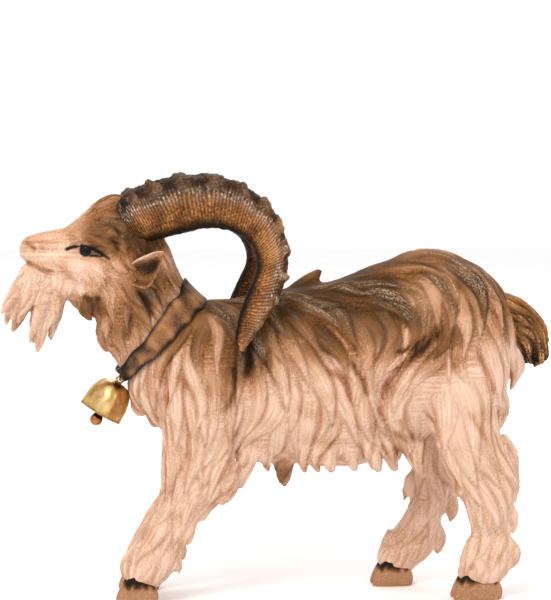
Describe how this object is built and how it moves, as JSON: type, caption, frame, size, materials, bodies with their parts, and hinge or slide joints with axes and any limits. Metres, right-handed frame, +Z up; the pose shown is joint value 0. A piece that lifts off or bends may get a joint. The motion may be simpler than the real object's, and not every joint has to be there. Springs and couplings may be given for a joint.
{
  "type": "carved wooden billy goat figurine",
  "caption": "Carved, stained wooden billy goat standing with raised head, long arching knobbed horns, beard, upturned tail, and a collar with a gilded bell that swings.",
  "frame": {"origin": "centre of the figure's footprint box, on the surface its hooves stand on", "axes": "-X towards the head, +Y to the goat's right side, +Z up"},
  "size_m": [0.1312, 0.0356, 0.101],
  "materials": {
    "body_wood": "stained and waxed",
    "leg_wood": "stained and waxed",
    "horn_wood": "dark stain, waxed",
    "tail_wood": "dark stain, waxed",
    "dowel_beech": "bare wood",
    "collar_stained": "dark brown, matt",
    "brass_wire": "drawn wire",
    "bell_gilding": "gilded, polished",
    "clapper_gilding": "coppery gold, polished"
  },
  "bodies": {
    "figure": {"trunk": "body_wood", "head_and_neck": "body_wood", "horn_left": "horn_wood", "horn_right": "horn_wood", "ear_left": "body_wood", "ear_right": "body_wood", "tail": "tail_wood", "leg_front_left": "leg_wood", "leg_front_right": "leg_wood", "leg_hind_left": "leg_wood", "leg_hind_right": "leg_wood", "dowel_leg_front_left": "dowel_beech", "dowel_leg_front_right": "dowel_beech", "dowel_leg_hind_left": "dowel_beech", "dowel_leg_hind_right": "dowel_beech", "dowel_neck": "dowel_beech", "dowel_horn_left": "dowel_beech", "dowel_horn_right": "dowel_beech", "dowel_tail": "dowel_beech", "collar_strap": "collar_stained", "bell_staple": "brass_wire"},
    "bell": {"bell": "bell_gilding", "clapper_pin": "brass_wire"},
    "clapper": {"clapper": "clapper_gilding"}
  },
  "joints": [
    {"name": "bell_swing", "type": "hinge", "parent": "figure", "child": "bell", "pos_m": [-0.03721, 0, 0.05219], "axis": [0, 1, 0], "range_deg": [0, 50]},
    {"name": "clapper_swing", "type": "hinge", "parent": "bell", "child": "clapper", "pos_m": [-0.03875, 0, 0.04962], "axis": [0, 1, 0], "range_deg": [-18, 18]}
  ]
}
